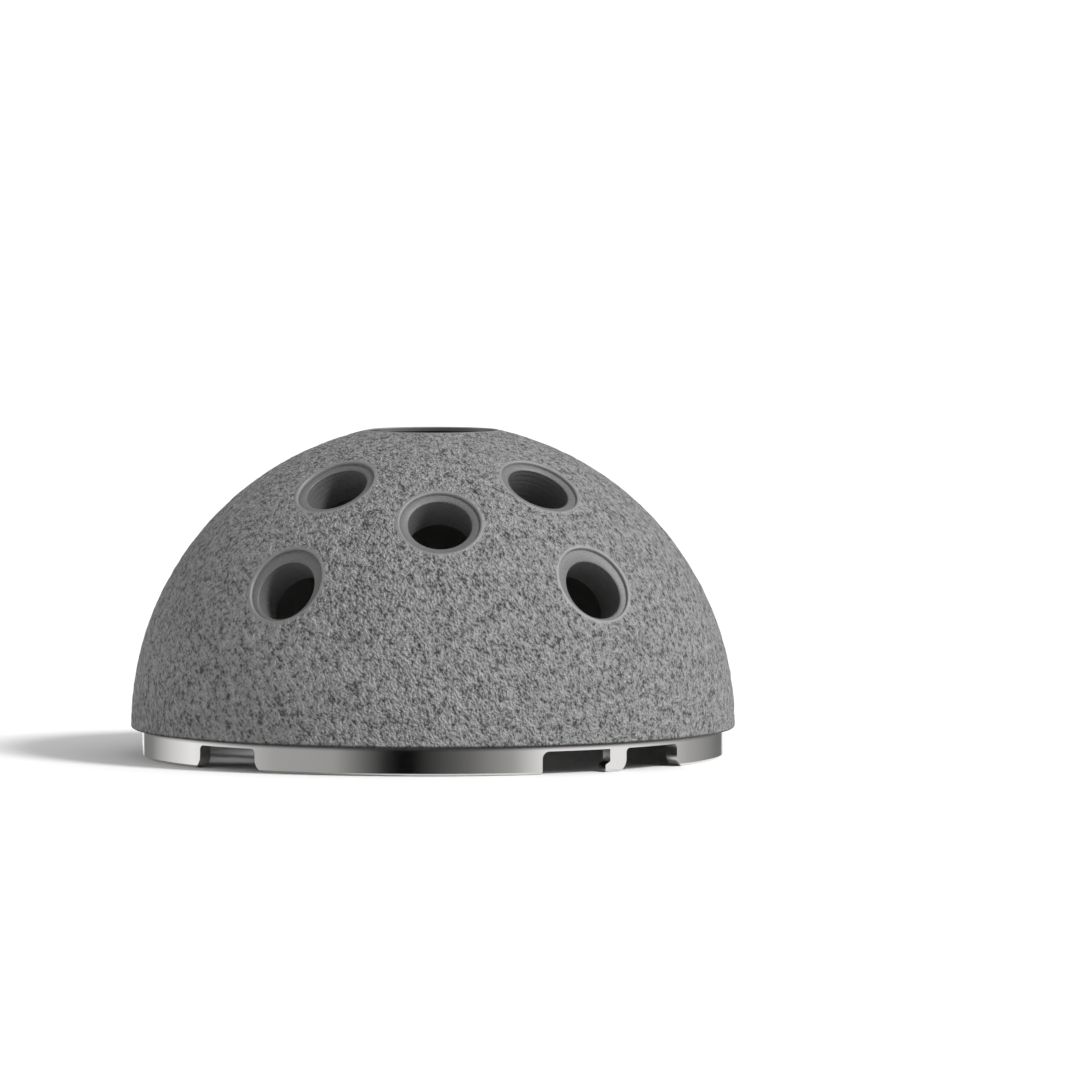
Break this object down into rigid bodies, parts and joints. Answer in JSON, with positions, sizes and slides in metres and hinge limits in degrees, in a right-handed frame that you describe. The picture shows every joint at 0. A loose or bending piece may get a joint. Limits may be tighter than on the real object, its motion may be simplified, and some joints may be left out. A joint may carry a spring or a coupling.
{
  "type": "acetabular cup",
  "caption": "Metal socket shell of a hip prosthesis, a hemisphere with a rough porous outside, screw holes, an apex hole and a notched bare rim.",
  "frame": {"origin": "centre of the rim plane, on which the cup stands with its opening down", "axes": "+Z from the opening to the apex, -Y towards the single front screw hole, +X completes the frame"},
  "size_m": [0.064, 0.064, 0.0345],
  "materials": {
    "machined_titanium": "fine turned and polished titanium alloy",
    "porous_titanium": "rough plasma-sprayed porous titanium, matt grey"
  },
  "bodies": {
    "root": {"metal_shell": "machined_titanium", "porous_coating": "porous_titanium"}
  },
  "joints": []
}
